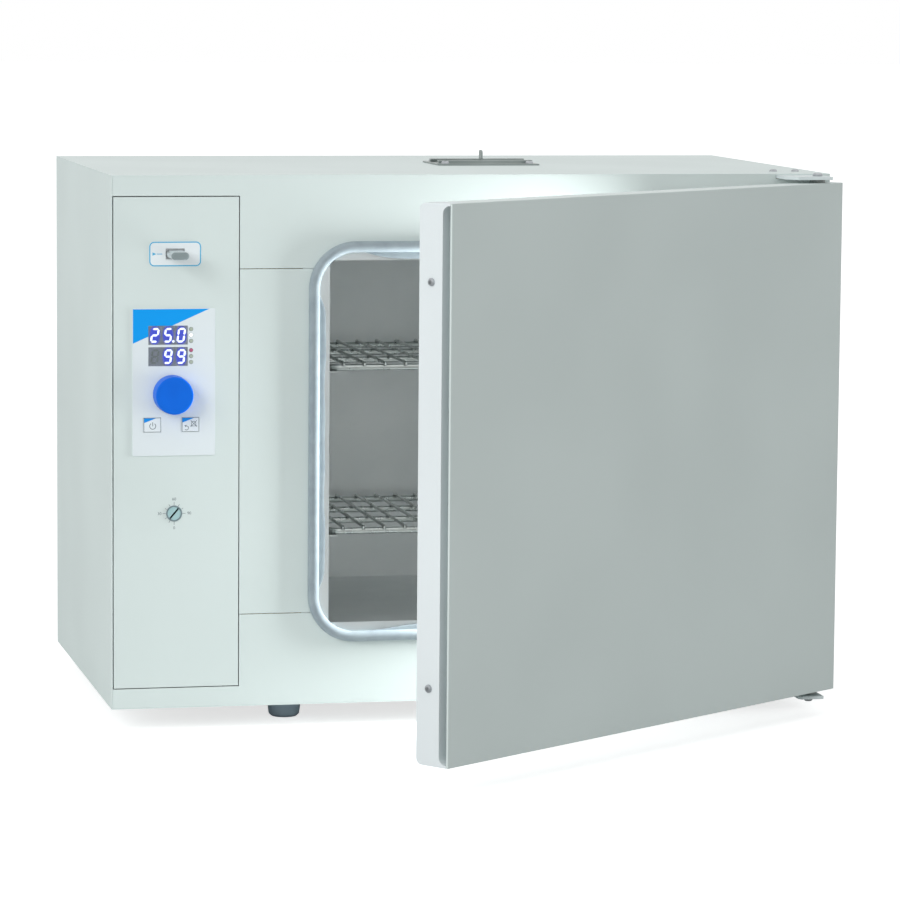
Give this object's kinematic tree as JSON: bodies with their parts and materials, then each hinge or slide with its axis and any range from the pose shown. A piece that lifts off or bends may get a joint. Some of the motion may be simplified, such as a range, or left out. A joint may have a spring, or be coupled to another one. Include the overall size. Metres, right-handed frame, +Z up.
{
  "type": "hot air sterilizer",
  "caption": "Bench-top dry-heat sterilizer with a side-hinged door standing ajar, a gasketed steel chamber with sliding wire shelves, a top vent and a side control panel.",
  "frame": {"origin": "on the bench, under the middle of the whole object's outer box with the door ajar as it rests", "axes": "+Z up, -Y towards the front (the door and control panel), +X to the viewer's right (the hinge side)"},
  "size_m": [0.7052, 0.7896, 0.5398],
  "materials": {
    "casing_paint": "fine-textured powder coat",
    "door_paint": "fine-textured powder coat",
    "rail_paint": "white powder coat",
    "stainless": "bright rolled",
    "wire": "electropolished",
    "zinc": "zinc plated",
    "galvanised": "galvanised",
    "silicone": "matt silicone",
    "foot_rubber": "moulded",
    "wool": "loose mineral wool",
    "membrane": "printed film",
    "blue_plastic": "moulded",
    "key_film": "printed film",
    "window": "clear tinted",
    "display": "potted",
    "lamp": "diffuse",
    "board": "solder resist",
    "black_plastic": "moulded",
    "grey_plastic": "moulded",
    "label": "printed film",
    "drive_shell": "satin",
    "bronze": "sintered",
    "magnet": "ferrite"
  },
  "bodies": {
    "casing": {"base_pan": "casing_paint", "top_cover": "casing_paint", "left_side_panel": "casing_paint", "right_side_panel": "casing_paint", "rear_cover": "casing_paint", "cover_screws": "zinc", "front_top_rail": "casing_paint", "front_bottom_rail": "casing_paint", "front_left_stile": "casing_paint", "front_right_stile": "casing_paint", "control_panel": "casing_paint", "bay_bulkhead": "galvanised", "inner_chamber": "stainless", "insulation_jacket": "wool", "heating_elements": "stainless", "heater_brackets": "galvanised", "chimney_tube": "stainless", "temperature_probe": "stainless", "door_gasket": "silicone", "shelf_racks": "stainless", "vent_frame": "stainless", "vent_screws": "zinc", "control_overlay": "membrane", "display_windows": "window", "display_modules": "display", "status_lamps": "lamp", "controller_board": "board", "board_standoffs": "zinc", "rotary_encoder": "black_plastic", "key_switches": "black_plastic", "safety_thermostat": "black_plastic", "usb_label": "label", "usb_socket": "zinc", "solid_state_relay": "black_plastic", "mains_inlet": "black_plastic", "feet": "foot_rubber", "foot_screws": "zinc", "top_hinge_plate": "zinc", "bottom_hinge_plate": "zinc", "hinge_plate_screws": "zinc", "top_hinge_pin": "zinc", "bottom_hinge_pin": "zinc"},
    "door": {"door_skin": "door_paint", "door_liner": "stainless", "door_insulation": "wool", "door_grip_rail": "rail_paint", "grip_rail_screws": "zinc", "door_hinge_blocks": "galvanised", "door_bushes": "bronze", "door_magnets": "magnet"},
    "upper_shelf": {"upper_shelf": "wire"},
    "lower_shelf": {"lower_shelf": "wire"},
    "vent_slide": {"vent_slider": "stainless"},
    "knob": {"control_knob": "blue_plastic", "encoder_shaft": "zinc"},
    "power_key": {"power_key": "key_film"},
    "mute_key": {"mute_key": "key_film"},
    "thermostat_dial": {"thermostat_dial": "grey_plastic"},
    "usb_drive": {"usb_drive": "drive_shell"}
  },
  "joints": [
    {"name": "door_hinge", "type": "hinge", "parent": "casing", "child": "door", "pos_m": [0.32779, -0.04691, 0.021], "axis": [0, 0, 1], "range_deg": [-36.8, 63]},
    {"name": "knob_turn", "type": "hinge", "parent": "casing", "child": "knob", "pos_m": [-0.29516, -0.02471, 0.3202], "axis": [0, -1, 0], "continuous": true},
    {"name": "thermostat_turn", "type": "hinge", "parent": "casing", "child": "thermostat_dial", "pos_m": [-0.29306, -0.02471, 0.207], "axis": [0, -1, 0], "range_deg": [-150, 150]},
    {"name": "power_key_press", "type": "slide", "parent": "casing", "child": "power_key", "axis": [0, 1, 0], "range_m": [0, 0.0004], "stiffness_N_per_m": 1500},
    {"name": "mute_key_press", "type": "slide", "parent": "casing", "child": "mute_key", "axis": [0, 1, 0], "range_m": [0, 0.0004], "stiffness_N_per_m": 1500},
    {"name": "vent_slide", "type": "slide", "parent": "casing", "child": "vent_slide", "axis": [1, 0, 0], "range_m": [0, 0.027]},
    {"name": "usb_drive_pull", "type": "slide", "parent": "casing", "child": "usb_drive", "axis": [0, -1, 0], "range_m": [0, 0.012]},
    {"name": "upper_shelf_slide", "type": "slide", "parent": "casing", "child": "upper_shelf", "axis": [0, -1, 0], "range_m": [0, 0.09]},
    {"name": "lower_shelf_slide", "type": "slide", "parent": "casing", "child": "lower_shelf", "axis": [0, -1, 0], "range_m": [0, 0.09]}
  ]
}
